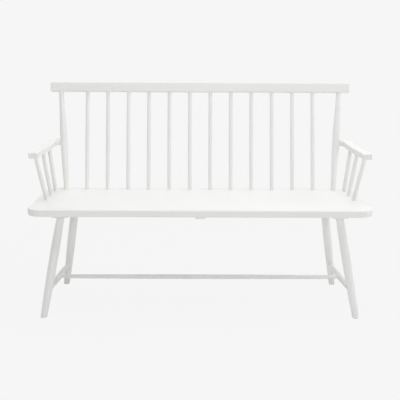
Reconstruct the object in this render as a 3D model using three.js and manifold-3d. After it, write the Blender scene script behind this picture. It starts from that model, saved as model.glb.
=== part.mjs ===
// Deacons bench: a painted wooden settee with a straight seat plank, a spindle back and open arms.
//
// Frame while it is built: millimetres, +X to the right as seen from the front, +Y to the back,
// +Z up. Y is zero at the seat's front edge and Z is zero on the floor. The last step moves the
// origin to the floor, under the middle of the bench's bounding box.
//
// The bench is glued and screwed, and nothing on it moves. Every turned piece runs along a straight
// line between two points, and the same line bores the sockets that the piece stands in.

import * as THREE from 'three';
import { mergeVertices } from 'three/addons/utils/BufferGeometryUtils.js';
import Module from 'manifold-3d';

const wasm = await Module();
wasm.setup();

// Fits
const seam = 0.3;
const overrun = 6;
const trim_size = 90;

// Seat plank
const seat_length = 1378;
const seat_depth = 470;
const seat_thickness = 28.5;
const seat_height = 450;
const seat_corner_radius = 60;
const seat_edge_round = 5;

// Spindles, of one kind under the rail and under the arms
const spindle_end_diameter = 16.2;
const spindle_swell_diameter = 17.4;
const spindle_swell_share = 0.5;
const seat_tenon = 19;

// Back: posts and spindles stand on one line and lean back together
const back_foot_inset = 43;
const back_lean_deg = 13.6;
const back_rise = 442.5;
const spindle_count = 12;
const post_end_inset = 87.75;
const post_splay_deg = 3.4;
const post_foot_diameter = 21.8;
const post_swell_diameter = 31.8;
const post_top_diameter = 21.4;
const post_swell_share = 0.5;
const post_tenon_diameter = 14;

// Crest rail
const crest_height = 40.5;
const crest_thickness = 24;
const crest_overhang = 47.3;
const crest_corner_radius = 4;
const crest_edge_round = 2.5;
const crest_tenon = 22;

// Arms: boards that lap the outside of the posts and flare outward to the front
const arm_thickness = 23;
const arm_rise = 218.8;
const arm_fall_deg = 1.7;
const arm_front_setback = 120;
const arm_front_inset = 33.5;
const arm_front_width = 38.5;
const arm_waist_setback = 345;
const arm_waist_inset = 45.5;
const arm_waist_width = 36;
const arm_neck_width = 25.5;
const arm_neck_length = 8;
const arm_sweep_length = 22;
const arm_tail = 34;
const arm_lap = 3;
const arm_corner_radius = 5;
const arm_edge_round = 3;
const arm_tenon = 14;
const dowel_diameter = 8;
const dowel_in_post = 13;
const dowel_in_arm = 16;

// Arm spindles
const arm_spindle_end_inset = 44;
const arm_spindle_foot_setback = 204;
const arm_spindle_foot_pitch = 98.5;
const arm_spindle_top_setback = 159;
const arm_spindle_top_pitch = 109.5;

// Legs
const leg_splay_deg = 9.54;
const leg_rake_deg = 11.66;
const front_leg_end_inset = 124.5;
const front_leg_setback = 105;
const rear_leg_end_inset = 141.5;
const rear_leg_inset = 113;
const leg_foot_diameter = 26.5;
const leg_swell_diameter = 35.2;
const leg_top_diameter = 29;
const leg_swell_share = 0.58;
const leg_tenon_diameter = 24;
const leg_tenon_in_seat = 15;
const foot_chamfer = 2.5;

// Stretchers
const stretcher_height = 104;
const side_stretcher_end_diameter = 14.4;
const side_stretcher_swell_diameter = 25;
const centre_stretcher_end_diameter = 12.8;
const centre_stretcher_neck_diameter = 17;
const centre_stretcher_swell_diameter = 20;
const centre_stretcher_neck_length = 42;
const leg_stretcher_tenon = 17;
const centre_stretcher_tenon = 12;

// Battens under the seat and the screws that hold them
const leg_batten_width = 64;
const leg_batten_thickness = 12.5;
const leg_batten_end_inset = 128;
const centre_batten_width = 40;
const centre_batten_thickness = 15;
const batten_setback = 40;
const batten_ease = 4;
const screws_per_batten = 3;
const screw_end_inset = 26;
const screw_head_diameter = 8.4;
const screw_shank_diameter = 4;
const screw_head_height = 2.8;
const screw_head_rim = 0.5;
const screw_sink = 0.4;
const screw_in_seat = 14;
const screw_tip = 5;

// Facets
const spindle_sides = 12;
const leg_sides = 14;
const screw_sides = 8;
const seat_corner_steps = 4;
const crest_corner_steps = 1;
const arm_curve_steps = 5;
const batten_curve_steps = 3;
const edge_steps = 2;
const spindle_steps = 4;
const post_steps = 10;
const leg_steps = 8;
const stretcher_steps = 6;

// Finish
const paint_colour = 0xefeeea;
const paint_roughness = 0.42;
const dowel_colour = 0xd8bf93;
const dowel_roughness = 0.7;
const steel_colour = 0xb9bcc0;
const steel_roughness = 0.35;

// Worked out from the sizes above
const half_seat = seat_length / 2;
const seat_underside = seat_height - seat_thickness;
const back_lean = THREE.MathUtils.degToRad(back_lean_deg);
const post_splay = THREE.MathUtils.degToRad(post_splay_deg);
const arm_fall = THREE.MathUtils.degToRad(arm_fall_deg);
const leg_splay = THREE.MathUtils.degToRad(leg_splay_deg);
const leg_rake = THREE.MathUtils.degToRad(leg_rake_deg);
const back_line = seat_depth - back_foot_inset;
const post_foot_x = half_seat - post_end_inset;
const post_top_x = post_foot_x + back_rise * Math.tan(post_splay);
const spindle_pitch = 2 * post_foot_x / (spindle_count + 1);
const crest_length = 2 * (post_top_x + crest_overhang);
const batten_underside = seat_underside - seam - leg_batten_thickness;
const batten_length = seat_depth - 2 * batten_setback;
const leg_batten_x = half_seat - leg_batten_end_inset;
const sides = { left: -1, right: 1 };
const up = new THREE.Vector3(0, 0, 1);

// Solids: a geometry becomes a closed solid for cutting, and a solid becomes a geometry again

function solid(geometry, matrix = new THREE.Matrix4()) {
  const bare = geometry.clone();
  bare.deleteAttribute('normal');
  bare.deleteAttribute('uv');
  const merged = mergeVertices(bare).applyMatrix4(matrix);
  const corners = merged.index.array;
  const kept = [];
  for (let i = 0; i < corners.length; i += 3) {
    const [a, b, c] = corners.slice(i, i + 3);
    if (a !== b && b !== c && c !== a) kept.push(a, b, c);
  }
  const mesh = new wasm.Mesh({
    numProp: 3,
    vertProperties: new Float32Array(merged.attributes.position.array),
    triVerts: new Uint32Array(kept),
  });
  return new wasm.Manifold(mesh);
}

function geometryOf(body) {
  const mesh = body.getMesh();
  const geometry = new THREE.BufferGeometry();
  geometry.setAttribute('position', new THREE.BufferAttribute(mesh.vertProperties, 3));
  geometry.setIndex(new THREE.BufferAttribute(mesh.triVerts, 1));
  geometry.computeVertexNormals();
  return geometry;
}

function without(body, cutters) {
  let result = body;
  for (const cutter of cutters) {
    result = result.subtract(cutter);
  }
  return result;
}

// Placement: a line from one point to another stands a turned piece up on its own axis

function line(from, to) {
  const direction = to.clone().sub(from);
  const length = direction.length();
  direction.normalize();
  const turn = new THREE.Quaternion().setFromUnitVectors(up, direction);
  const matrix = new THREE.Matrix4().compose(from, turn, new THREE.Vector3(1, 1, 1));
  return { from, to, direction, length, matrix };
}

function along(run, distance) {
  return run.from.clone().addScaledVector(run.direction, distance);
}

function atHeight(run, height) {
  return (height - run.from.z) / run.direction.z;
}

// Turning: profiles run up the axis from one end to the other, as radius and height

function turned(profile, side_count) {
  const points = profile.map(([radius, height]) => new THREE.Vector2(radius, height));
  const geometry = new THREE.LatheGeometry(points, side_count);
  return geometry.rotateX(Math.PI / 2);
}

function rod(radius, start, end, side_count) {
  return turned([[0, start], [radius, start], [radius, end], [0, end]], side_count);
}

// How a piece fattens from an end, at zero, to its fullest place, at one
const gentle = (part) => (1 - Math.cos(Math.PI * part)) / 2;
const full = (part) => Math.sin(Math.PI * part / 2);

const spindle_shape = {
  foot: spindle_end_diameter,
  swell: spindle_swell_diameter,
  top: spindle_end_diameter,
  swell_share: spindle_swell_share,
  form: full,
};
const post_shape = {
  foot: post_foot_diameter,
  swell: post_swell_diameter,
  top: post_top_diameter,
  swell_share: post_swell_share,
  form: gentle,
};
const leg_shape = {
  foot: leg_foot_diameter,
  swell: leg_swell_diameter,
  top: leg_top_diameter,
  swell_share: leg_swell_share,
  form: full,
};
const side_stretcher_shape = {
  foot: side_stretcher_end_diameter,
  swell: side_stretcher_swell_diameter,
  top: side_stretcher_end_diameter,
  swell_share: 1 / 2,
  form: full,
};
const centre_stretcher_shape = {
  foot: centre_stretcher_neck_diameter,
  swell: centre_stretcher_swell_diameter,
  top: centre_stretcher_neck_diameter,
  swell_share: 1 / 2,
  form: full,
};

function radiusAt(share, { foot, swell, top, swell_share, form }) {
  const rising = share < swell_share;
  const end = rising ? foot : top;
  const part = rising ? share / swell_share : (1 - share) / (1 - swell_share);
  return (end + (swell - end) * form(part)) / 2;
}

function swelled(shape, start, length, steps) {
  const profile = [];
  for (let i = 0; i <= steps; i += 1) {
    profile.push([radiusAt(i / steps, shape), start + length * i / steps]);
  }
  return profile;
}

// A profile closed with a plain round tenon, as thick as the piece's end, at the foot and the top
function tenoned(profile, foot_tenon, top_tenon) {
  const [foot_radius, foot] = profile[0];
  const [top_radius, top] = profile[profile.length - 1];
  return [
    [0, foot - foot_tenon],
    [foot_radius, foot - foot_tenon],
    ...profile,
    [top_radius, top + top_tenon],
    [0, top + top_tenon],
  ];
}

// A bore for a round tenon, from outside its mouth to a seam past the tenon's end.
// A depth below zero runs back down the line.
function socket(run, diameter, mouth, depth, side_count) {
  const inward = Math.sign(depth);
  const outside = mouth - inward * overrun;
  const bottom = mouth + depth + inward * seam;
  const [start, end] = inward > 0 ? [outside, bottom] : [bottom, outside];
  return solid(rod(diameter / 2 + seam, start, end, side_count), run.matrix);
}

// A block that takes off whatever stands above a shoulder, and a seam more
function aboveShoulder(x, y, height, matrix) {
  const block = new THREE.BoxGeometry(trim_size, trim_size, trim_size);
  return solid(block.translate(x, y, height - seam + trim_size / 2), matrix);
}

// Boards: an outline with every edge rounded over, lying on Z = 0

function board(outline, thickness, edge_round, curve_steps) {
  const geometry = new THREE.ExtrudeGeometry(outline, {
    depth: thickness - 2 * edge_round,
    bevelThickness: edge_round,
    bevelSize: edge_round,
    bevelOffset: -edge_round,
    bevelSegments: edge_steps,
    curveSegments: curve_steps,
  });
  return geometry.translate(0, 0, edge_round);
}

function roundedRectangle(left, right, bottom, top, radius) {
  const shape = new THREE.Shape();
  shape.moveTo(left + radius, bottom);
  shape.absarc(right - radius, bottom + radius, radius, -Math.PI / 2, 0);
  shape.absarc(right - radius, top - radius, radius, 0, Math.PI / 2);
  shape.absarc(left + radius, top - radius, radius, Math.PI / 2, Math.PI);
  shape.absarc(left + radius, bottom + radius, radius, Math.PI, 3 * Math.PI / 2);
  return shape;
}

// Back: lines of the posts and spindles, from the seat's top to the rail's underside

function backLine(foot_x, top_x) {
  const foot = new THREE.Vector3(foot_x, back_line, seat_height);
  const top_y = back_line + back_rise * Math.sin(back_lean);
  const top_z = seat_height + back_rise * Math.cos(back_lean);
  return line(foot, new THREE.Vector3(top_x, top_y, top_z));
}

const spindle_lines = [];
for (let i = 1; i <= spindle_count; i += 1) {
  const x = i * spindle_pitch - post_foot_x;
  spindle_lines.push(backLine(x, x));
}
const post_lines = {
  left: backLine(-post_foot_x, -post_top_x),
  right: backLine(post_foot_x, post_top_x),
};

// The rail's own frame: its underside is at Z = 0 there, and its middle is over the back's line
const crest_frame = new THREE.Matrix4().makeRotationX(-back_lean);
crest_frame.setPosition(spindle_lines[0].to.clone().setX(0));

function crestRail() {
  const half = crest_length / 2;
  const outline = roundedRectangle(-half, half, 0, crest_height, crest_corner_radius);
  const rail = board(outline, crest_thickness, crest_edge_round, crest_corner_steps);
  rail.rotateX(Math.PI / 2).translate(0, crest_thickness / 2, 0);
  const cutters = [];
  for (const run of spindle_lines) {
    cutters.push(socket(run, spindle_end_diameter, run.length, crest_tenon, spindle_sides));
  }
  for (const run of Object.values(post_lines)) {
    cutters.push(socket(run, post_tenon_diameter, run.length, crest_tenon, spindle_sides));
  }
  return geometryOf(without(solid(rail, crest_frame), cutters));
}

function spindle(run, top_tenon) {
  const profile = tenoned(swelled(spindle_shape, 0, run.length, spindle_steps), seat_tenon, top_tenon);
  return geometryOf(solid(turned(profile, spindle_sides), run.matrix));
}

// A post goes into the rail as a thinner tenon, with its shoulder cut to the rail's underside
function backPost(name) {
  const run = post_lines[name];
  const taper = swelled(post_shape, 0, run.length + overrun, post_steps);
  const body = solid(turned(tenoned(taper, seat_tenon, 0), leg_sides), run.matrix);
  const shoulder = aboveShoulder(run.to.x, 0, 0, crest_frame);
  const tenon_end = run.length + crest_tenon;
  const tenon = rod(post_tenon_diameter / 2, run.length - overrun, tenon_end, spindle_sides);
  const whole = body.subtract(shoulder).add(solid(tenon, run.matrix));
  return geometryOf(whole.subtract(dowelBore(name)));
}

// Arms: laid out flat with the top at Z = 0, then set at the post with a slight fall to the front

const arm_middle_height = seat_height + arm_rise - arm_thickness / 2;
const arm_post_distance = atHeight(post_lines.right, arm_middle_height);
const arm_post_point = along(post_lines.right, arm_post_distance);
const arm_post_radius = post_swell_diameter / 2;
const arm_frame = new THREE.Matrix4().makeRotationX(arm_fall);
arm_frame.setPosition(0, arm_post_point.y, seat_height + arm_rise);
const arm_front_inner = half_seat - arm_front_inset;
const arm_waist_inner = half_seat - arm_waist_inset;

function armY(setback) {
  return (setback - arm_post_point.y) / Math.cos(arm_fall);
}

function armOutline(side) {
  const front_outer = arm_front_inner + arm_front_width;
  const waist_outer = arm_waist_inner + arm_waist_width;
  const neck_inner = arm_post_point.x + arm_post_radius - arm_lap;
  const neck_outer = neck_inner + arm_neck_width;
  const front = armY(arm_front_setback);
  const waist = armY(arm_waist_setback);
  const neck = -arm_neck_length / 2;
  const sweep = neck - arm_sweep_length;
  const corner = arm_corner_radius;
  const flare = (waist - front) / 2;
  const bend = arm_sweep_length / 2;
  const tail_radius = arm_neck_width / 2;
  const tail_middle = side * (neck_inner + tail_radius);
  const tail = arm_tail - tail_radius;
  const [tail_start, tail_end] = side > 0 ? [0, Math.PI] : [Math.PI, 0];
  const shape = new THREE.Shape();
  const curve = (x1, y1, x2, y2, x3, y3) => {
    shape.bezierCurveTo(side * x1, y1, side * x2, y2, side * x3, y3);
  };
  shape.moveTo(side * (arm_front_inner + corner), front);
  shape.lineTo(side * (front_outer - corner), front);
  shape.quadraticCurveTo(side * front_outer, front, side * front_outer, front + corner);
  curve(front_outer, front + flare, waist_outer, waist - flare, waist_outer, waist);
  shape.lineTo(side * waist_outer, sweep);
  curve(waist_outer, sweep + bend, neck_outer, neck - bend, neck_outer, neck);
  shape.absarc(tail_middle, tail, tail_radius, tail_start, tail_end, side < 0);
  shape.lineTo(side * neck_inner, neck);
  curve(neck_inner, neck - bend, arm_waist_inner, sweep + bend, arm_waist_inner, sweep);
  shape.lineTo(side * arm_waist_inner, waist);
  curve(arm_waist_inner, waist - flare, arm_front_inner, front + flare, arm_front_inner, front + corner);
  shape.quadraticCurveTo(side * arm_front_inner, front, side * (arm_front_inner + corner), front);
  return shape;
}

// A dowel locks each arm to its post, level and along the bench's length
function dowelLine(name) {
  const middle = arm_post_point.clone().setX(sides[name] * arm_post_point.x);
  const outer = middle.clone();
  outer.x += sides[name] * (arm_post_radius + dowel_in_arm);
  return line(middle, outer);
}

function dowelRod(name, play) {
  const start = arm_post_radius - dowel_in_post - play;
  const end = arm_post_radius + dowel_in_arm + play;
  return solid(rod(dowel_diameter / 2 + play, start, end, spindle_sides), dowelLine(name).matrix);
}

function dowelBore(name) {
  return dowelRod(name, seam);
}

// Arm spindles: from the seat's top to the arm's underside, on the middle of the arm

function armMiddle(setback) {
  const share = (setback - arm_front_setback) / (arm_waist_setback - arm_front_setback);
  const front = arm_front_inner + arm_front_width / 2;
  const waist = arm_waist_inner + arm_waist_width / 2;
  return THREE.MathUtils.lerp(front, waist, Math.min(share, 1));
}

function armSpindleLine(side, index) {
  const foot_x = side * (half_seat - arm_spindle_end_inset);
  const foot_y = arm_spindle_foot_setback + index * arm_spindle_foot_pitch;
  const top_y = arm_spindle_top_setback + index * arm_spindle_top_pitch;
  const fall = (arm_post_point.y - top_y) * Math.tan(arm_fall);
  const top_z = seat_height + arm_rise - arm_thickness / Math.cos(arm_fall) - fall;
  const foot = new THREE.Vector3(foot_x, foot_y, seat_height);
  return line(foot, new THREE.Vector3(side * armMiddle(top_y), top_y, top_z));
}

const arm_spindle_names = ['front', 'middle', 'rear'];
const arm_spindle_lines = { left: [], right: [] };
for (const [name, side] of Object.entries(sides)) {
  for (const index of arm_spindle_names.keys()) {
    arm_spindle_lines[name].push(armSpindleLine(side, index));
  }
}

function arm(name) {
  const plank = board(armOutline(sides[name]), arm_thickness, arm_edge_round, arm_curve_steps);
  plank.translate(0, 0, -arm_thickness);
  const low = arm_post_distance - arm_thickness - overrun;
  const high = arm_post_distance + arm_thickness + overrun;
  const hollow = rod(arm_post_radius + seam, low, high, leg_sides);
  const cutters = [solid(hollow, post_lines[name].matrix), dowelBore(name)];
  for (const run of arm_spindle_lines[name]) {
    cutters.push(socket(run, spindle_end_diameter, run.length, arm_tenon, spindle_sides));
  }
  return geometryOf(without(solid(plank, arm_frame), cutters));
}

// Legs: lines from the floor to the seat's underside, splayed sideways and raked fore and aft

function legLine(side, top_x, top_y, rake) {
  const out = seat_underside * Math.tan(leg_splay);
  const fore = seat_underside * Math.tan(leg_rake);
  const foot = new THREE.Vector3(side * (top_x + out), top_y + rake * fore, 0);
  return line(foot, new THREE.Vector3(side * top_x, top_y, seat_underside));
}

const front_leg_x = half_seat - front_leg_end_inset;
const rear_leg_x = half_seat - rear_leg_end_inset;
const rear_leg_y = seat_depth - rear_leg_inset;
const leg_lines = {
  front_left: legLine(sides.left, front_leg_x, front_leg_setback, -1),
  front_right: legLine(sides.right, front_leg_x, front_leg_setback, -1),
  rear_left: legLine(sides.left, rear_leg_x, rear_leg_y, 1),
  rear_right: legLine(sides.right, rear_leg_x, rear_leg_y, 1),
};

// A cone that stands on the floor and widens upward levels the foot and eases its edge
function footCone(run) {
  const floor_radius = leg_foot_diameter / 2 - foot_chamfer;
  const top_radius = floor_radius + seat_height;
  const profile = [[0, 0], [floor_radius, 0], [top_radius, seat_height], [0, seat_height]];
  return solid(turned(profile, leg_sides).translate(run.from.x, run.from.y, 0));
}

function leg(name) {
  const run = leg_lines[name];
  const [end, side] = name.split('_');
  const stretcher = side_stretcher_lines[side];
  const taper = swelled(leg_shape, 0, run.length, leg_steps);
  const body = solid(turned(tenoned(taper, overrun, 0), leg_sides), run.matrix);
  const levelled = body.intersect(footCone(run));
  const shouldered = levelled.subtract(aboveShoulder(run.to.x, run.to.y, batten_underside));
  const tenon_start = atHeight(run, batten_underside) - overrun;
  const tenon_end = run.length + leg_tenon_in_seat;
  const tenon = rod(leg_tenon_diameter / 2, tenon_start, tenon_end, leg_sides);
  const mouth = end === 'front' ? stretcher.inset : stretcher.length - stretcher.inset;
  const depth = end === 'front' ? -leg_stretcher_tenon : leg_stretcher_tenon;
  const bore = socket(stretcher, side_stretcher_end_diameter, mouth, depth, spindle_sides);
  return geometryOf(shouldered.add(solid(tenon, run.matrix)).subtract(bore));
}

// Stretchers: one along each end between the legs, and a long one between those two

function sideStretcherLine(name) {
  const front = leg_lines[`front_${name}`];
  const rear = leg_lines[`rear_${name}`];
  const distance = atHeight(front, stretcher_height);
  const run = line(along(front, distance), along(rear, atHeight(rear, stretcher_height)));
  run.inset = radiusAt(distance / front.length, leg_shape);
  return run;
}

const side_stretcher_lines = {
  left: sideStretcherLine('left'),
  right: sideStretcherLine('right'),
};
const centre_stretcher_line = line(
  along(side_stretcher_lines.left, side_stretcher_lines.left.length / 2),
  along(side_stretcher_lines.right, side_stretcher_lines.right.length / 2),
);
const centre_stretcher_inset = side_stretcher_swell_diameter / 2;

function sideStretcher(name) {
  const run = side_stretcher_lines[name];
  const open = run.length - 2 * run.inset;
  const taper = swelled(side_stretcher_shape, run.inset, open, stretcher_steps);
  const profile = tenoned(taper, leg_stretcher_tenon, leg_stretcher_tenon);
  const centre = centre_stretcher_line;
  const left = name === 'left';
  const mouth = left ? centre_stretcher_inset : centre.length - centre_stretcher_inset;
  const depth = left ? -centre_stretcher_tenon : centre_stretcher_tenon;
  const bore = socket(centre, centre_stretcher_end_diameter, mouth, depth, spindle_sides);
  return geometryOf(solid(turned(profile, spindle_sides), run.matrix).subtract(bore));
}

function centreStretcher() {
  const run = centre_stretcher_line;
  const inset = centre_stretcher_inset;
  const neck = inset + centre_stretcher_neck_length;
  const end_radius = centre_stretcher_end_diameter / 2;
  const taper = [
    [end_radius, inset],
    ...swelled(centre_stretcher_shape, neck, run.length - 2 * neck, stretcher_steps),
    [end_radius, run.length - inset],
  ];
  const profile = tenoned(taper, centre_stretcher_tenon, centre_stretcher_tenon);
  return geometryOf(solid(turned(profile, spindle_sides), run.matrix));
}

// Battens: square on top against the seat, with the lower edges and ends eased

function easedBar(half_width, thickness, length) {
  const shape = new THREE.Shape();
  shape.moveTo(-half_width, 0);
  shape.lineTo(-half_width, batten_ease - thickness);
  shape.quadraticCurveTo(-half_width, -thickness, batten_ease - half_width, -thickness);
  shape.lineTo(half_width - batten_ease, -thickness);
  shape.quadraticCurveTo(half_width, -thickness, half_width, batten_ease - thickness);
  shape.lineTo(half_width, 0);
  const settings = { depth: length, bevelEnabled: false, curveSegments: batten_curve_steps };
  const bar = new THREE.ExtrudeGeometry(shape, settings);
  return bar.translate(0, 0, -length / 2).rotateX(Math.PI / 2);
}

const battens = {
  leg_batten_left: { x: -leg_batten_x, width: leg_batten_width, thickness: leg_batten_thickness },
  centre_batten: { x: 0, width: centre_batten_width, thickness: centre_batten_thickness },
  leg_batten_right: { x: leg_batten_x, width: leg_batten_width, thickness: leg_batten_thickness },
};

// Screws: countersunk, driven up through a batten into the seat

function screwProfile(piece, play, start) {
  const length = piece.thickness + seam - screw_sink + screw_in_seat;
  const head = screw_head_diameter / 2 + play;
  const shank = screw_shank_diameter / 2 + play;
  return [
    [0, start],
    [head, start],
    [head, screw_head_rim + play],
    [shank, screw_head_height + play],
    [shank, length - screw_tip + play],
    [0, length + play],
  ];
}

function screwPlaces(piece) {
  const bottom = seat_underside - seam - piece.thickness + screw_sink;
  const reach = batten_length - 2 * screw_end_inset;
  const places = [];
  for (let i = 0; i < screws_per_batten; i += 1) {
    const y = batten_setback + screw_end_inset + reach * i / (screws_per_batten - 1);
    places.push(new THREE.Matrix4().makeTranslation(piece.x, y, bottom));
  }
  return places;
}

function screwBores(piece) {
  const bore = turned(screwProfile(piece, seam, -overrun), screw_sides);
  return screwPlaces(piece).map((place) => solid(bore, place));
}

function legSockets(names) {
  return names.map((name) => {
    const run = leg_lines[name];
    const mouth = atHeight(run, batten_underside);
    const depth = run.length + leg_tenon_in_seat - mouth;
    return socket(run, leg_tenon_diameter, mouth, depth, leg_sides);
  });
}

function batten(name) {
  const { x, width, thickness } = battens[name];
  const bar = easedBar(width / 2, thickness, batten_length);
  const ends = easedBar(batten_length / 2, thickness, width).rotateZ(Math.PI / 2);
  const place = new THREE.Matrix4().makeTranslation(x, seat_depth / 2, seat_underside - seam);
  const body = solid(bar, place).intersect(solid(ends, place));
  const side = name.split('_').pop();
  const legs = side in sides ? [`front_${side}`, `rear_${side}`] : [];
  return geometryOf(without(body, [...legSockets(legs), ...screwBores(battens[name])]));
}

// Seat: bored from above for the back and the arms, and from below for the legs and screws

function seat() {
  const outline = roundedRectangle(-half_seat, half_seat, 0, seat_depth, seat_corner_radius);
  const plank = board(outline, seat_thickness, seat_edge_round, seat_corner_steps);
  plank.translate(0, 0, seat_underside);
  const cutters = legSockets(Object.keys(leg_lines));
  for (const run of [...spindle_lines, ...arm_spindle_lines.left, ...arm_spindle_lines.right]) {
    cutters.push(socket(run, spindle_end_diameter, 0, -seat_tenon, spindle_sides));
  }
  for (const run of Object.values(post_lines)) {
    cutters.push(socket(run, post_foot_diameter, 0, -seat_tenon, leg_sides));
  }
  for (const piece of Object.values(battens)) {
    cutters.push(...screwBores(piece));
  }
  return geometryOf(without(solid(plank), cutters));
}

// Assembly

const bench = new THREE.Group();

function add(name, geometry, color, roughness, metalness) {
  const material = new THREE.MeshStandardMaterial({ color, roughness, metalness });
  const mesh = new THREE.Mesh(geometry, material);
  mesh.name = name;
  bench.add(mesh);
}

function addPainted(name, geometry) {
  add(name, geometry, paint_colour, paint_roughness, 0);
}

function numbered(name, number) {
  return `${name}_${String(number).padStart(2, '0')}`;
}

addPainted('seat', seat());
addPainted('crest_rail', crestRail());
addPainted('centre_stretcher', centreStretcher());

for (const [index, run] of spindle_lines.entries()) {
  addPainted(numbered('back_spindle', index + 1), spindle(run, crest_tenon));
}

for (const side of Object.keys(sides)) {
  addPainted(`back_post_${side}`, backPost(side));
  addPainted(`arm_${side}`, arm(side));
  addPainted(`side_stretcher_${side}`, sideStretcher(side));
  add(`arm_dowel_${side}`, geometryOf(dowelRod(side, 0)), dowel_colour, dowel_roughness, 0);
  for (const [index, run] of arm_spindle_lines[side].entries()) {
    addPainted(`arm_spindle_${side}_${arm_spindle_names[index]}`, spindle(run, arm_tenon));
  }
}

for (const name of Object.keys(leg_lines)) {
  addPainted(`leg_${name}`, leg(name));
}

let screw_number = 0;
for (const [name, piece] of Object.entries(battens)) {
  addPainted(name, batten(name));
  const screw = turned(screwProfile(piece, 0, 0), screw_sides);
  for (const place of screwPlaces(piece)) {
    screw_number += 1;
    const body = geometryOf(solid(screw, place));
    add(numbered('batten_screw', screw_number), body, steel_colour, steel_roughness, 1);
  }
}

// The origin goes to the floor, under the middle of the bounding box
const box = new THREE.Box3().setFromObject(bench, true);
const middle = box.getCenter(new THREE.Vector3());
bench.position.set(-middle.x, -middle.y, -box.min.z);
bench.updateMatrixWorld(true);

export default bench;
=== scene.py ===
import itertools
import math
import bmesh
import bpy
from mathutils import Matrix, Vector
from mathutils.geometry import interpolate_bezier


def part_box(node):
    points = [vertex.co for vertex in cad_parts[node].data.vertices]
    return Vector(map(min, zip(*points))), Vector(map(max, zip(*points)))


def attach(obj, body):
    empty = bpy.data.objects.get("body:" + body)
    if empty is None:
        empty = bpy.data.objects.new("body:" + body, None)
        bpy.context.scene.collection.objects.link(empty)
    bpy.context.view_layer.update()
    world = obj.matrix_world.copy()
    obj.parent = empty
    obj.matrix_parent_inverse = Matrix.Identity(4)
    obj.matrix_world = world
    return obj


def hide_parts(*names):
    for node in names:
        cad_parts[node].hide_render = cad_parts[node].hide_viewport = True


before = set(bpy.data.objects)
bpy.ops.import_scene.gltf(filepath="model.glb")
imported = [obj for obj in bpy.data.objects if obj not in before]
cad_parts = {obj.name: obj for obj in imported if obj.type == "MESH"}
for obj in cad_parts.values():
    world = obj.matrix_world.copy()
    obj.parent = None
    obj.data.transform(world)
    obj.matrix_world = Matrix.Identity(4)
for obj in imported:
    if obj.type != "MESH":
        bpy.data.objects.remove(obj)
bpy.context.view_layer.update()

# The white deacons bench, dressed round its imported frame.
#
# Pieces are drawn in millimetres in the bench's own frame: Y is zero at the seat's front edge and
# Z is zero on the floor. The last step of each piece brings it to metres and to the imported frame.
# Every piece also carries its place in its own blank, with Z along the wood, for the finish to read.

# Seat plank
seat_length = 1378
seat_depth = 470
seat_thickness = 28.5
seat_height = 450
seat_corner_radius = 60
seat_edge_round = 5
seat_margin = 1.5

# Spindles of the back and the arms
spindle_end_diameter = 16.2
spindle_swell_diameter = 17.4

# Back
back_foot_inset = 43
back_lean = math.radians(13.6)
back_rise = 442.5
spindle_count = 12
post_end_inset = 87.75
post_splay = math.radians(3.4)
post_diameters = (21.8, 31.8, 21.4)

# Crest rail
crest_height = 40.5
crest_thickness = 24
crest_overhang = 47.3
crest_corner_radius = 4
crest_edge_round = 2.5
crest_margin = 1

# Arms
arm_thickness = 23
arm_rise = 218.8
arm_fall = math.radians(1.7)
arm_front_setback = 120
arm_front_inset = 33.5
arm_front_width = 38.5
arm_waist_setback = 345
arm_waist_inset = 45.5
arm_waist_width = 36
arm_neck_width = 25.5
arm_neck_length = 8
arm_sweep_length = 22
arm_tail = 34
arm_lap = 3
arm_corner_radius = 5
arm_corner_ease = arm_corner_radius / 3
arm_edge_round = 3
arm_margin = 1
arm_spindle_end_inset = 44
arm_spindle_foot_setback = 204
arm_spindle_foot_pitch = 98.5
arm_spindle_top_setback = 159
arm_spindle_top_pitch = 109.5

# Legs
leg_splay = math.radians(9.54)
leg_rake = math.radians(11.66)
front_leg_end_inset = 124.5
front_leg_setback = 105
rear_leg_end_inset = 141.5
rear_leg_inset = 113
leg_diameters = (26.5, 35.2, 29)
leg_swell_share = 0.58
foot_chamfer = 2.5

# Stretchers
stretcher_height = 104
side_stretcher_diameters = (14.4, 25, 14.4)
centre_stretcher_end_diameter = 12.8
centre_stretcher_diameters = (17, 20, 17)
centre_stretcher_neck_length = 42

# Battens
leg_batten_width = 64
leg_batten_thickness = 12.5
leg_batten_end_inset = 128
centre_batten_width = 40
centre_batten_thickness = 15
batten_setback = 40
batten_ease = 4
batten_seam = 0.3

# Screws: the recess is given in shares of the head's radius and height
screws_per_batten = 3
screw_end_inset = 26
screw_head_diameter = 8.4
screw_shank_diameter = 4
screw_head_height = 2.8
screw_head_rim = 0.5
screw_drawn_length = 3 * screw_head_height
screw_sink = 0.4
screw_seam = 0.3
recess_reach_share = 0.62
recess_half_width_share = 0.17
recess_depth_share = 0.6
recess_floor_share = 0.55

# How finely the shapes are drawn
spindle_sides = 32
turned_sides = 44
spindle_rings = 16
turned_rings = 36
corner_steps = 14
edge_steps = 5
crest_edge_steps = 3
curve_points = 18
screw_sides = 24
least_point_gap = 0.05
merge_distance = 0.001
cut_tolerance = 0.0001
crisp_angle = math.radians(40)
wide_in_margins = 5

# Joints: a turned end runs on inside what holds it, with a fine fillet of paint round its mouth.
# An end that is cut off to fit is first drawn longer by the spare length.
buried = 4
end_spare = 8
foot_spare = 12
fillet_rise = 0.9
fillet_spread = 0.7
fillet_steps = ((0.45, 0.16), (0.16, 0.45), (0, 1))

half_seat = seat_length / 2
half_way = 0.5
seat_underside = seat_height - seat_thickness
batten_length = seat_depth - 2 * batten_setback
post_foot_x = half_seat - post_end_inset
post_top_x = post_foot_x + back_rise * math.tan(post_splay)
crest_length = 2 * (post_top_x + crest_overhang)
sides = {"left": -1, "right": 1}
upwards = Vector((0, 0, 1))
millimetre = 0.001

seat_low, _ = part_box("seat")
to_frame = Matrix.Translation((0, seat_low.y, 0)) @ Matrix.Scale(millimetre, 4)


# Drawing: the steps that the pieces share


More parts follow.
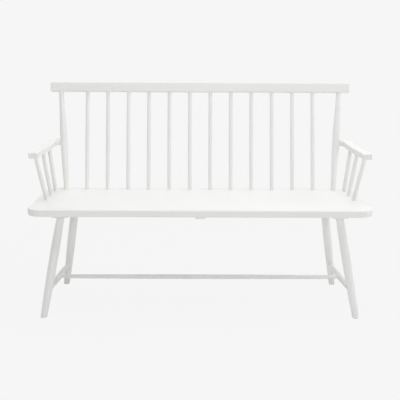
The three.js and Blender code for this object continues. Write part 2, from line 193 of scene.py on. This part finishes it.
def moved(bm, matrix):
    bmesh.ops.transform(bm, matrix=matrix, verts=bm.verts)
    return bm


def clean(bm):
    bmesh.ops.remove_doubles(bm, verts=bm.verts, dist=merge_distance)
    bmesh.ops.recalc_face_normals(bm, faces=bm.faces)
    return bm


def distinct(items):
    """Each item once, in the order in which it first comes."""
    return list(dict.fromkeys(items))


def edges_among(geometry):
    return [item for item in geometry if isinstance(item, bmesh.types.BMEdge)]


def points_among(geometry):
    return [item for item in geometry if isinstance(item, bmesh.types.BMVert)]


def drawn_out(bm, rim):
    """Extrudes a rim in place, and gives the new rim and its points."""
    geometry = bmesh.ops.extrude_edge_only(bm, edges=rim)["geom"]
    return edges_among(geometry), points_among(geometry)


def drawn_up(bm, rim, axis, steps):
    """Draws a round rim up in steps, each a height and a radius round an axis, and closes it."""
    for height, radius in steps:
        rim, points = drawn_out(bm, rim)
        share = radius / (points[0].co.xy - axis.xy).length
        bmesh.ops.translate(bm, vec=(0, 0, height - points[0].co.z), verts=points)
        bmesh.ops.scale(bm, vec=(share, share, 1), space=Matrix.Translation(-axis), verts=points)
    bmesh.ops.edgeloop_fill(bm, edges=rim)


def cut_off(bm, place, outward):
    """Cuts off what lies past a place, and gives the rim of the cut."""
    geometry = bm.verts[:] + bm.edges[:] + bm.faces[:]
    cut = bmesh.ops.bisect_plane(
        bm, geom=geometry, dist=cut_tolerance, plane_co=place, plane_no=outward, clear_outer=True,
    )
    return edges_among(cut["geom_cut"])


def rounded(bm, corners, radius, steps, affect="EDGES"):
    bmesh.ops.bevel(
        bm, geom=corners, offset=radius, offset_type="OFFSET", segments=steps, profile=0.5,
        affect=affect, material=-1, clamp_overlap=False,
    )


def margined(bm, width):
    """A narrow margin inside every wide flat face, so that only the rounding shades round."""
    least = wide_in_margins * width
    wide = [face for face in bm.faces if 2 * face.calc_area() > least * face.calc_perimeter()]
    bmesh.ops.inset_individual(bm, faces=wide, thickness=width, use_even_offset=True)


def rounded_rectangle(left, right, low, high, radius):
    """Points of a rectangle with rounded corners."""
    bm = bmesh.new()
    corners = [(left, low), (right, low), (right, high), (left, high)]
    face = bm.faces.new([bm.verts.new((x, y, 0)) for x, y in corners])
    rounded(bm, face.verts, radius, corner_steps, "VERTICES")
    bm.faces.ensure_lookup_table()
    outline = [(vert.co.x, vert.co.y) for vert in bm.faces[0].verts]
    bm.free()
    return outline


def board(outline, thickness, edge_round, steps=edge_steps):
    """A board from Z = 0 up, on an outline of points, with its edges rounded over."""
    bm = bmesh.new()
    face = bm.faces.new([bm.verts.new((x, y, 0)) for x, y in outline])
    raised = bmesh.ops.extrude_face_region(bm, geom=[face], use_keep_orig=True)
    bmesh.ops.translate(bm, vec=(0, 0, thickness), verts=points_among(raised["geom"]))
    bmesh.ops.recalc_face_normals(bm, faces=bm.faces)
    rims = [e for e in bm.edges if abs(e.verts[0].co.z - e.verts[1].co.z) < thickness / 2]
    rounded(bm, rims, edge_round, steps)
    return bm


# Turned pieces


def gentle(part):
    """A swelling that starts slowly."""
    return (1 - math.cos(math.pi * part)) / 2


def full(part):
    """A swelling that starts at once."""
    return math.sin(math.pi * part / 2)


def swelled(diameters, swell_share, start, length, form, rings):
    """Radius and height of a turned piece that is fullest at a share of its length."""
    foot, swell, top = diameters
    profile = []
    for ring in range(rings + 1):
        share = ring / rings
        rising = share < swell_share
        end = foot if rising else top
        part = share / swell_share if rising else (1 - share) / (1 - swell_share)
        profile.append(((end + (swell - end) * form(part)) / 2, start + length * share))
    return profile


def turned(profile, side_count, foot, top):
    """A closed turned piece on the Z axis, run on at both ends by the given lengths."""
    foot_radius, low = profile[0]
    top_radius, high = profile[-1]
    low, high = low - foot, high + top
    profile = [(0, low), (foot_radius, low), *profile, (top_radius, high), (0, high)]
    bm = bmesh.new()
    points = [bm.verts.new((radius, 0, height)) for radius, height in profile]
    edges = [bm.edges.new(pair) for pair in zip(points, points[1:])]
    bmesh.ops.spin(
        bm, geom=points + edges, axis=(0, 0, 1), cent=(0, 0, 0), dvec=(0, 0, 0),
        angle=2 * math.pi, steps=side_count, use_merge=True, use_duplicate=False,
    )
    return clean(bm)


def flush(bm, place, outward):
    """Cuts an end off just short of what it stands in, spreads a fillet of paint and closes it."""
    outward = outward.normalized()
    rim = cut_off(bm, place - outward * fillet_rise, outward)
    points = distinct(vert for edge in rim for vert in edge.verts)
    middle = sum((vert.co for vert in points), Vector()) / len(points)
    radius = sum((vert.co - middle).length for vert in points) / len(points)
    height, size = fillet_rise, 1
    for rise_share, spread_share in [*fillet_steps, (-buried / fillet_rise, 1)]:
        rim, points = drawn_out(bm, rim)
        step = outward * (height - rise_share * fillet_rise)
        middle += step
        bmesh.ops.translate(bm, vec=step, verts=points)
        grown = 1 + fillet_spread * spread_share / radius
        bmesh.ops.scale(
            bm, vec=(grown / size,) * 3, space=Matrix.Translation(-middle), verts=points,
        )
        height, size = rise_share * fillet_rise, grown
    bmesh.ops.edgeloop_fill(bm, edges=rim)
    bmesh.ops.recalc_face_normals(bm, faces=bm.faces)


# Lines: a turned piece stands on the straight line between two points


class Line:
    def __init__(self, start, end):
        self.start, self.end = Vector(start), Vector(end)
        self.length = (self.end - self.start).length
        self.direction = (self.end - self.start).normalized()
        turn = self.direction.to_track_quat("Z", "Y").to_matrix().to_4x4()
        self.place = Matrix.Translation(self.start) @ turn

    def at(self, distance):
        return self.start + self.direction * distance

    def distance_to(self, height):
        return (height - self.start.z) / self.direction.z

    def at_height(self, height):
        return self.at(self.distance_to(height))


def back_line(foot_x, top_x):
    foot_y = seat_depth - back_foot_inset
    top_y = foot_y + back_rise * math.sin(back_lean)
    top_z = seat_height + back_rise * math.cos(back_lean)
    return Line((foot_x, foot_y, seat_height), (top_x, top_y, top_z))


def leg_line(side, top_x, top_y, rake):
    out = seat_underside * math.tan(leg_splay)
    fore = seat_underside * math.tan(leg_rake)
    foot = (side * (top_x + out), top_y + rake * fore, 0)
    return Line(foot, (side * top_x, top_y, seat_underside))


def leg_profile(line):
    return swelled(leg_diameters, leg_swell_share, 0, line.length, full, turned_rings)


def leg_radius(line, height):
    """Radius of a leg at a height from the floor."""
    distance = line.distance_to(height)
    return min(leg_profile(line), key=lambda point: abs(point[1] - distance))[0]


def side_stretcher_line(name):
    front, rear = leg_lines["front", name], leg_lines["rear", name]
    return Line(front.at_height(stretcher_height), rear.at_height(stretcher_height))


def arm_y(setback):
    """The place along an arm, laid flat, of a distance behind the seat's front edge."""
    return (setback - arm_post_point.y) / math.cos(arm_fall)


def arm_middle(setback):
    """How far out the middle of an arm lies, at a distance behind the seat's front edge."""
    share = (setback - arm_front_setback) / (arm_waist_setback - arm_front_setback)
    front = arm_front_inner + arm_front_width / 2
    waist = arm_waist_inner + arm_waist_width / 2
    return front + (waist - front) * min(share, 1)


def arm_spindle_line(side, index):
    foot_x = side * (half_seat - arm_spindle_end_inset)
    foot_y = arm_spindle_foot_setback + index * arm_spindle_foot_pitch
    top_y = arm_spindle_top_setback + index * arm_spindle_top_pitch
    drop = (arm_post_point.y - top_y) * math.tan(arm_fall)
    top_z = seat_height + arm_rise - arm_thickness / math.cos(arm_fall) - drop
    return Line((foot_x, foot_y, seat_height), (side * arm_middle(top_y), top_y, top_z))


spindle_pitch = 2 * post_foot_x / (spindle_count + 1)
spindle_places = [number * spindle_pitch - post_foot_x for number in range(1, spindle_count + 1)]
spindle_lines = [back_line(x, x) for x in spindle_places]
post_lines = {name: back_line(side * post_foot_x, side * post_top_x) for name, side in sides.items()}
crest_place = Matrix.Translation((0, spindle_lines[0].end.y, spindle_lines[0].end.z))
crest_place = crest_place @ Matrix.Rotation(-back_lean, 4, "X")
crest_up = crest_place.to_3x3() @ upwards

front_leg_x = half_seat - front_leg_end_inset
rear_leg_x = half_seat - rear_leg_end_inset
rear_leg_y = seat_depth - rear_leg_inset
leg_lines = {}
for name, side in sides.items():
    leg_lines["front", name] = leg_line(side, front_leg_x, front_leg_setback, -1)
    leg_lines["rear", name] = leg_line(side, rear_leg_x, rear_leg_y, 1)

stretcher_inset = leg_radius(leg_lines["front", "left"], stretcher_height)
side_stretcher_lines = {name: side_stretcher_line(name) for name in sides}
centre_stretcher_line = Line(*(line.at(line.length / 2) for line in side_stretcher_lines.values()))

arm_top = seat_height + arm_rise
arm_post_point = post_lines["right"].at_height(arm_top - arm_thickness / 2)
arm_place = Matrix.Translation((0, arm_post_point.y, arm_top))
arm_place = arm_place @ Matrix.Rotation(arm_fall, 4, "X")
arm_up = arm_place.to_3x3() @ upwards
arm_front_inner = half_seat - arm_front_inset
arm_waist_inner = half_seat - arm_waist_inset


# Finishes: a noise has a scale for each axis of the blank, per metre, and the last is along the wood.
# A relief is the depth of a finish's bumps in metres.

paint_ior = 1.38
paint_light = (0.872, 0.874, 0.858, 1)
paint_dark = (0.838, 0.838, 0.818, 1)
paint_cloud_scale = (9, 9, 5)
paint_fibre_scale = (900, 900, 26)
paint_fibre_roughness = 0.6
paint_pore_scale = (620, 620, 34)
paint_pore_range = (0.62, 0.76)
paint_figure_scale = (70, 70, 3.2)
paint_peel_scale = (520, 520, 520)
paint_shade_range = (0.2, 0.95)
paint_least_roughness = 0.46
paint_relief = 0.00006

wood_ior = 1.45
wood_light = (0.72, 0.56, 0.35, 1)
wood_dark = (0.55, 0.38, 0.2, 1)
wood_figure_scale = (160, 160, 6)
wood_fibre_scale = (1500, 1500, 60)
wood_tone_range = (0.3, 0.7)
wood_least_roughness = 0.55
wood_relief = 0.0001

steel_bright = (0.66, 0.67, 0.69, 1)
steel_dull = (0.5, 0.5, 0.5, 1)
steel_mark_scale = (400, 400, 6000)
steel_patch_scale = (600, 600, 600)
steel_least_roughness = 0.25
steel_relief = 0.00003


class Field:
    """A number or a colour that varies over a finish, and the sums on it."""

    def __init__(self, tree, socket):
        self.tree = tree
        self.socket = socket

    def sum(self, operation, *values):
        return self.tree.node("ShaderNodeMath", dict(enumerate(values)), operation=operation)

    def __add__(self, other):
        return self.sum("ADD", self, other)

    def __mul__(self, other):
        return self.sum("MULTIPLY", self, other)

    __radd__ = __add__
    __rmul__ = __mul__


class Tree:
    """A node tree, built up node by node."""

    def __init__(self, tree):
        self.nodes = tree.nodes
        self.links = tree.links

    def feed(self, node, values):
        for key, value in values.items():
            socket = node.inputs[key.replace("_", " ") if isinstance(key, str) else key]
            if isinstance(value, Field):
                self.links.new(value.socket, socket)
            else:
                socket.default_value = value

    def node(self, kind, values=None, output=0, **settings):
        node = self.nodes.new(kind)
        for setting, value in settings.items():
            setattr(node, setting, value)
        self.feed(node, values or {})
        return Field(self, node.outputs[output])

    def camera_sees(self):
        """One where the camera looks straight at something, and zero where light meets it."""
        return self.node("ShaderNodeLightPath", output="Is Camera Ray")


class Finish(Tree):
    """A finish made of nodes, ending in one shader."""

    def __init__(self, name, **plain):
        self.material = bpy.data.materials.new(name)
        self.material.use_nodes = True
        super().__init__(self.material.node_tree)
        self.shader = self.nodes["Principled BSDF"]
        self.feed(self.shader, plain)

    def blank(self, scale):
        """The place in the piece's blank, in metres, stretched by a scale for each axis."""
        place = self.node(
            "ShaderNodeAttribute", attribute_type="GEOMETRY", attribute_name="blank", output="Vector",
        )
        return self.node("ShaderNodeVectorMath", {0: place, 1: scale}, operation="MULTIPLY")

    def noise(self, scale, detail=2.0, roughness=0.5):
        values = {"Vector": self.blank(scale), "Scale": 1.0, "Detail": detail, "Roughness": roughness}
        return self.node("ShaderNodeTexNoise", values, output="Fac")

    def between(self, value, low, high):
        values = {"Value": value, "From Min": low, "From Max": high}
        return self.node("ShaderNodeMapRange", values, output="Result", clamp=True)

    def mixed(self, share, first, second):
        values = {"Factor": share, 6: first, 7: second}
        return self.node("ShaderNodeMix", values, output=2, data_type="RGBA")

    def bump(self, height, distance):
        return self.node("ShaderNodeBump", {"Height": height, "Distance": distance, "Strength": 1.0})


def paint_finish():
    """Satin white paint, sprayed over wood whose fibres show faintly."""
    paint = Finish("white_paint", IOR=paint_ior)
    cloud = paint.noise(paint_cloud_scale)
    fibres = paint.noise(paint_fibre_scale, detail=3.0, roughness=paint_fibre_roughness)
    pores = paint.between(paint.noise(paint_pore_scale, detail=1.0), *paint_pore_range)
    figure = paint.noise(paint_figure_scale, detail=1.0)
    peel = paint.noise(paint_peel_scale, detail=1.0)
    shade = paint.between(cloud * 0.55 + figure * 0.25 + pores * 0.35, *paint_shade_range)
    height = fibres * 0.35 + pores * -0.5 + figure * 0.5 + peel * 0.3
    paint.feed(paint.shader, {
        "Base Color": paint.mixed(shade, paint_light, paint_dark),
        "Roughness": cloud * 0.1 + peel * 0.08 + paint_least_roughness,
        "Normal": paint.bump(height, paint_relief),
    })
    return paint.material


def wood_finish():
    """Bare birch, as on a dowel."""
    wood = Finish("bare_birch", IOR=wood_ior)
    figure = wood.noise(wood_figure_scale, detail=3.0)
    fibres = wood.noise(wood_fibre_scale, detail=2.0)
    tone = wood.between(figure * 0.6 + fibres * 0.4, *wood_tone_range)
    wood.feed(wood.shader, {
        "Base Color": wood.mixed(tone, wood_light, wood_dark),
        "Roughness": fibres * 0.2 + wood_least_roughness,
        "Normal": wood.bump(fibres, wood_relief),
    })
    return wood.material


def steel_finish():
    """Zinc-plated steel with fine turning marks and dull patches."""
    steel = Finish("zinc_steel", Metallic=1.0)
    marks = steel.noise(steel_mark_scale, detail=1.0)
    patches = steel.noise(steel_patch_scale, detail=2.0)
    steel.feed(steel.shader, {
        "Base Color": steel.mixed(patches, steel_bright, steel_dull),
        "Roughness": patches * 0.25 + steel_least_roughness,
        "Normal": steel.bump(marks, steel_relief),
    })
    return steel.material


white_paint = paint_finish()
bare_wood = wood_finish()
screw_steel = steel_finish()


# Pieces: each blank stands a step aside from the last, so that no two pieces show the same grain

blank_step = Vector((0.37, 0.61, 1.13))
blank_numbers = itertools.count(1)


def finish_piece(node, bm, material, place, lengthways=(0, 0, 1)):
    """Makes the piece of its bmesh, puts it in the frame, and hides the CAD node it stands for."""
    turn = Vector(lengthways).rotation_difference(upwards).to_matrix().to_4x4()
    into_blank = turn @ place.inverted()
    aside = blank_step * next(blank_numbers)
    blank = bm.verts.layers.float_vector.new("blank")
    for vert in bm.verts:
        vert[blank] = into_blank @ vert.co * millimetre + aside
    for face in bm.faces:
        face.smooth = True
    for edge in bm.edges:
        edge.smooth = len(edge.link_faces) != 2 or edge.calc_face_angle() < crisp_angle
    moved(bm, to_frame)
    name = node + "_dressed"
    mesh = bpy.data.meshes.new(name)
    bm.to_mesh(mesh)
    bm.free()
    mesh.materials.append(material)
    piece = bpy.data.objects.new(name, mesh)
    bpy.context.scene.collection.objects.link(piece)
    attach(piece, "root")
    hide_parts(node)


def paint_piece(node, bm, place, lengthways=(0, 0, 1)):
    finish_piece(node, bm, white_paint, place, lengthways)


def make_seat():
    outline = rounded_rectangle(-half_seat, half_seat, 0, seat_depth, seat_corner_radius)
    plank = board(outline, seat_thickness, seat_edge_round)
    margined(plank, seat_margin)
    moved(plank, Matrix.Translation((0, 0, seat_underside)))
    paint_piece("seat", plank, Matrix(), lengthways=(1, 0, 0))


def make_crest():
    half = crest_length / 2
    outline = rounded_rectangle(-half, half, 0, crest_height, crest_corner_radius)
    rail = board(outline, crest_thickness, crest_edge_round, crest_edge_steps)
    margined(rail, crest_margin)
    moved(rail, Matrix.Rotation(math.pi / 2, 4, "X"))
    moved(rail, crest_place @ Matrix.Translation((0, crest_thickness / 2, 0)))
    paint_piece("crest_rail", rail, crest_place, lengthways=(1, 0, 0))


def make_spindle(node, line, top_up):
    diameters = (spindle_end_diameter, spindle_swell_diameter, spindle_end_diameter)
    profile = swelled(diameters, half_way, 0, line.length, full, spindle_rings)
    spindle = moved(turned(profile, spindle_sides, end_spare, end_spare), line.place)
    flush(spindle, line.start, -upwards)
    flush(spindle, line.end, top_up)
    paint_piece(node, spindle, line.place)


def make_post(name):
    line = post_lines[name]
    profile = swelled(post_diameters, half_way, 0, line.length, gentle, turned_rings)
    post = moved(turned(profile, turned_sides, end_spare, end_spare), line.place)
    flush(post, line.start, -upwards)
    flush(post, line.end, crest_up)
    paint_piece(f"back_post_{name}", post, line.place)


def arm_outline(side):
    """Points round an arm, laid flat: square at the front, waisted, and narrow at the post."""
    front_outer = arm_front_inner + arm_front_width
    waist_outer = arm_waist_inner + arm_waist_width
    neck_inner = arm_post_point.x + post_diameters[1] / 2 - arm_lap
    neck_outer = neck_inner + arm_neck_width
    front, waist = arm_y(arm_front_setback), arm_y(arm_waist_setback)
    neck = -arm_neck_length / 2
    sweep = neck - arm_sweep_length
    corner, ease = arm_corner_radius, arm_corner_ease
    flare, bend = (waist - front) / 2, arm_sweep_length / 2
    # the tail is half a circle, and the hook is the length of a quarter circle's handles
    tail = arm_neck_width / 2
    tail_x, tail_y = neck_inner + tail, arm_tail - tail
    hook = tail * 4 / 3 * (math.sqrt(2) - 1)
    runs = [
        ((front_outer - corner, front), (front_outer - ease, front),
         (front_outer, front + ease), (front_outer, front + corner)),
        ((front_outer, front + corner), (front_outer, front + flare),
         (waist_outer, waist - flare), (waist_outer, waist)),
        ((waist_outer, sweep), (waist_outer, sweep + bend),
         (neck_outer, neck - bend), (neck_outer, neck)),
        ((neck_outer, tail_y), (neck_outer, tail_y + hook),
         (tail_x + hook, arm_tail), (tail_x, arm_tail)),
        ((tail_x, arm_tail), (tail_x - hook, arm_tail),
         (neck_inner, tail_y + hook), (neck_inner, tail_y)),
        ((neck_inner, neck), (neck_inner, neck - bend),
         (arm_waist_inner, sweep + bend), (arm_waist_inner, sweep)),
        ((arm_waist_inner, waist), (arm_waist_inner, waist - flare),
         (arm_front_inner, front + flare), (arm_front_inner, front + corner)),
        ((arm_front_inner, front + corner), (arm_front_inner, front + ease),
         (arm_front_inner + ease, front), (arm_front_inner + corner, front)),
    ]
    outline = []
    for run in runs:
        for point in interpolate_bezier(*map(Vector, run), curve_points):
            place = (side * point.x, point.y)
            if not outline or math.dist(place, outline[-1]) > least_point_gap:
                outline.append(place)
    return outline


def make_arm(name):
    side = sides[name]
    plank = board(arm_outline(side), arm_thickness, arm_edge_round)
    margined(plank, arm_margin)
    moved(plank, arm_place @ Matrix.Translation((0, 0, -arm_thickness)))
    paint_piece(f"arm_{name}", plank, arm_place, lengthways=(0, 1, 0))
    for index, part in enumerate(("front", "middle", "rear")):
        make_spindle(f"arm_spindle_{name}_{part}", arm_spindle_line(side, index), arm_up)


def make_leg(end, name):
    line = leg_lines[end, name]
    leg = moved(turned(leg_profile(line), turned_sides, foot_spare, 0), line.place)
    rim = cut_off(leg, (0, 0, 0), -upwards)
    bmesh.ops.edgeloop_fill(leg, edges=rim)
    bmesh.ops.recalc_face_normals(leg, faces=leg.faces)
    rounded(leg, rim, foot_chamfer, edge_steps)
    batten_underside = seat_underside - batten_seam - leg_batten_thickness
    flush(leg, line.at_height(batten_underside), upwards)
    paint_piece(f"leg_{end}_{name}", leg, line.place)


def make_side_stretcher(name):
    line = side_stretcher_lines[name]
    open_length = line.length - 2 * stretcher_inset
    profile = swelled(
        side_stretcher_diameters, half_way, stretcher_inset, open_length, full, turned_rings,
    )
    bar = moved(turned(profile, spindle_sides, buried, buried), line.place)
    paint_piece(f"side_stretcher_{name}", bar, line.place)


def make_centre_stretcher():
    line = centre_stretcher_line
    inset = side_stretcher_diameters[1] / 2
    neck = inset + centre_stretcher_neck_length
    end = centre_stretcher_end_diameter / 2
    open_length = line.length - 2 * neck
    taper = swelled(centre_stretcher_diameters, half_way, neck, open_length, full, turned_rings)
    profile = [(end, inset), *taper, (end, line.length - inset)]
    bar = moved(turned(profile, spindle_sides, buried, buried), line.place)
    paint_piece("centre_stretcher", bar, line.place)


def make_ring(bm, radius, place):
    """A circle of edges round a place, beside what the bmesh already holds."""
    ring = bmesh.ops.create_circle(
        bm, cap_ends=False, radius=radius, segments=screw_sides, matrix=place,
    )
    return distinct(edge for vert in ring["verts"] for edge in vert.link_edges)


def make_batten(node, x, width, thickness, first_screw):
    """A batten with eased lower edges, and a countersunk hole for each of its screws."""
    bm = bmesh.new()
    bmesh.ops.create_cube(bm, size=1)
    bmesh.ops.scale(bm, vec=(width, batten_length, thickness), verts=bm.verts)
    bmesh.ops.translate(bm, vec=(0, 0, -thickness / 2), verts=bm.verts)
    low = [e for e in bm.edges if max(v.co.z for v in e.verts) < -thickness / 2]
    rounded(bm, low, batten_ease, edge_steps)
    # the flat underside is drawn again with a round mouth for each screw
    flat = min(bm.faces, key=lambda face: face.calc_center_median().z)
    edges = list(flat.edges)
    bmesh.ops.delete(bm, geom=[flat], context="FACES_ONLY")
    mouth_radius = screw_head_diameter / 2 + screw_seam
    reach = batten_length - 2 * screw_end_inset
    mouths = {}
    for index in range(screws_per_batten):
        y = index / (screws_per_batten - 1) * reach - reach / 2
        mouths[y] = make_ring(bm, mouth_radius, Matrix.Translation((0, y, -thickness)))
        edges += mouths[y]
    bmesh.ops.triangle_fill(bm, use_beauty=True, use_dissolve=False, edges=edges)
    around = screw_seam + screw_sink
    steps = (
        (screw_head_rim + around - thickness, mouth_radius),
        (screw_head_height + around - thickness, screw_shank_diameter / 2 + screw_seam),
    )
    for y, mouth in mouths.items():
        drawn_up(bm, mouth, Vector((0, y, 0)), steps)
    clean(bm)
    place = Matrix.Translation((x, seat_depth / 2, seat_underside - batten_seam))
    paint_piece(node, moved(bm, place), place, lengthways=(0, 1, 0))
    for number, y in enumerate(mouths, first_screw):
        make_screw(number, place @ Matrix.Translation((0, y, screw_sink - thickness)))


def make_screw(number, place):
    """A countersunk head with a cross recess, on a short length of shank."""
    bm = bmesh.new()
    radius = screw_head_diameter / 2
    rim = make_ring(bm, radius, Matrix())
    long, wide = radius * recess_reach_share, radius * recess_half_width_share
    quarter = [(long, wide), (wide, wide), (wide, long)]
    cross = []
    for _ in range(4):
        cross += [bm.verts.new((x, y, 0)) for x, y in quarter]
        quarter = [(-y, x) for x, y in quarter]
    recess = [bm.edges.new(pair) for pair in zip(cross, cross[1:] + cross[:1])]
    bmesh.ops.triangle_fill(bm, use_beauty=True, use_dissolve=False, edges=rim + recess)
    floor, points = drawn_out(bm, recess)
    bmesh.ops.translate(bm, vec=(0, 0, screw_head_height * recess_depth_share), verts=points)
    bmesh.ops.scale(bm, vec=(recess_floor_share, recess_floor_share, 1), verts=points)
    bmesh.ops.edgeloop_fill(bm, edges=floor)
    shank = screw_shank_diameter / 2
    steps = ((screw_head_rim, radius), (screw_head_height, shank), (screw_drawn_length, shank))
    drawn_up(bm, rim, Vector(), steps)
    clean(bm)
    finish_piece(f"batten_screw_{number:02d}", moved(bm, place), screw_steel, place)


make_seat()
make_crest()
for number, line in enumerate(spindle_lines, 1):
    make_spindle(f"back_spindle_{number:02d}", line, crest_up)
for name in sides:
    make_post(name)
    make_arm(name)
    make_side_stretcher(name)
for end, name in leg_lines:
    make_leg(end, name)
make_centre_stretcher()
leg_batten_x = half_seat - leg_batten_end_inset
battens = {
    "leg_batten_left": (-leg_batten_x, leg_batten_width, leg_batten_thickness),
    "centre_batten": (0, centre_batten_width, centre_batten_thickness),
    "leg_batten_right": (leg_batten_x, leg_batten_width, leg_batten_thickness),
}
for index, (node, (x, width, thickness)) in enumerate(battens.items()):
    make_batten(node, x, width, thickness, index * screws_per_batten + 1)

for name in sides:
    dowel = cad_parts[f"arm_dowel_{name}"]
    dowel.data.materials.clear()
    dowel.data.materials.append(bare_wood)


# Camera, floor and light: places in metres, turns in degrees

camera_place = (-0.01865, -2.97267, 1.06184)
camera_pan = -0.354
camera_fall = 11.914
camera_roll = 0.264
camera_lens = 63.48
camera_sensor_width = 36

backwards = (0, 1, 0)
white = (1, 1, 1, 1)
background = (0.922, 0.922, 0.922, 1)
floor_colour = (0.9, 0.9, 0.9, 1)
floor_roughness = 0.9
floor_size = 150
shadow_share = 0.04
shadow_reach = (0.9, 2.2)
room_light_in_front = 0.415
room_light_behind = 1.27

# Name, place, aim, width, height and watts of each softbox
softboxes = (
    ("overhead", (0, -0.3, 3.6), (0, 0, 0.5), 3, 3, 44),
    ("window", (3.2, -0.2, 2.4), (0, 0, 0.5), 2, 2, 29),
    ("key", (0, -3.815, 1.603), (0, 0, 0.4), 0.8, 0.5, 21),
)


def make_camera():
    data = bpy.data.cameras.new("camera")
    data.sensor_width = camera_sensor_width
    data.lens = camera_lens
    place = Matrix.Translation(camera_place)
    # a camera looks straight down until it is turned, and level after 90 degrees round X
    for degrees, axis in ((camera_pan, "Z"), (90 - camera_fall, "X"), (camera_roll, "Z")):
        place = place @ Matrix.Rotation(math.radians(degrees), 4, axis)
    camera = bpy.data.objects.new("camera", data)
    camera.matrix_world = place
    bpy.context.scene.collection.objects.link(camera)
    bpy.context.scene.camera = camera


def make_floor():
    """A pale floor that the camera sees almost evenly, with a faint shadow round the feet."""
    bm = bmesh.new()
    bmesh.ops.create_grid(bm, x_segments=1, y_segments=1, size=floor_size)
    mesh = bpy.data.meshes.new("floor")
    bm.to_mesh(mesh)
    bm.free()
    pale = Finish(
        "pale_floor", Base_Color=floor_colour, Roughness=floor_roughness, Specular_IOR_Level=0,
    )
    place = pale.node("ShaderNodeTexCoord", output="Object")
    distance = pale.node("ShaderNodeVectorMath", {0: place}, output="Value", operation="LENGTH")
    away = pale.between(distance, *shadow_reach)
    share = pale.camera_sees() * (away * shadow_share + (1 - shadow_share))
    lit = Field(pale, pale.shader.outputs[0])
    glow = pale.node("ShaderNodeEmission", {"Color": background})
    mix = pale.node("ShaderNodeMixShader", {0: share, 1: lit, 2: glow})
    pale.feed(pale.nodes["Material Output"], {"Surface": mix})
    mesh.materials.append(pale.material)
    floor = bpy.data.objects.new("floor", mesh)
    bpy.context.scene.collection.objects.link(floor)


def make_world():
    """A white room that lights the bench most from behind, and that the camera sees as even."""
    world = bpy.data.worlds.new("studio")
    world.use_nodes = True
    room = Tree(world.node_tree)
    direction = room.node("ShaderNodeTexCoord", output="Generated")
    values = {0: direction, 1: backwards}
    behind = room.node("ShaderNodeVectorMath", values, output="Value", operation="DOT_PRODUCT")
    values = {"Value": behind, "To Min": room_light_in_front, "To Max": room_light_behind}
    strength = room.node("ShaderNodeMapRange", values, output="Result")
    room.feed(room.nodes["Background"], {"Color": white, "Strength": strength})
    lit = Field(room, room.nodes["Background"].outputs[0])
    seen = room.node("ShaderNodeBackground", {"Color": background})
    mix = room.node("ShaderNodeMixShader", {0: room.camera_sees(), 1: lit, 2: seen})
    room.feed(room.nodes["World Output"], {"Surface": mix})
    bpy.context.scene.world = world


def make_softbox(name, place, aim, width, height, watts):
    data = bpy.data.lights.new(name, "AREA")
    data.shape = "RECTANGLE"
    data.size, data.size_y = width, height
    data.energy = watts
    light = bpy.data.objects.new(name, data)
    light.location = place
    light.rotation_mode = "QUATERNION"
    light.rotation_quaternion = (Vector(aim) - Vector(place)).to_track_quat("-Z", "Y")
    bpy.context.scene.collection.objects.link(light)


make_camera()
make_floor()
make_world()
for softbox in softboxes:
    make_softbox(*softbox)

view = bpy.context.scene.view_settings
view.view_transform = "Standard"
view.look = "None"
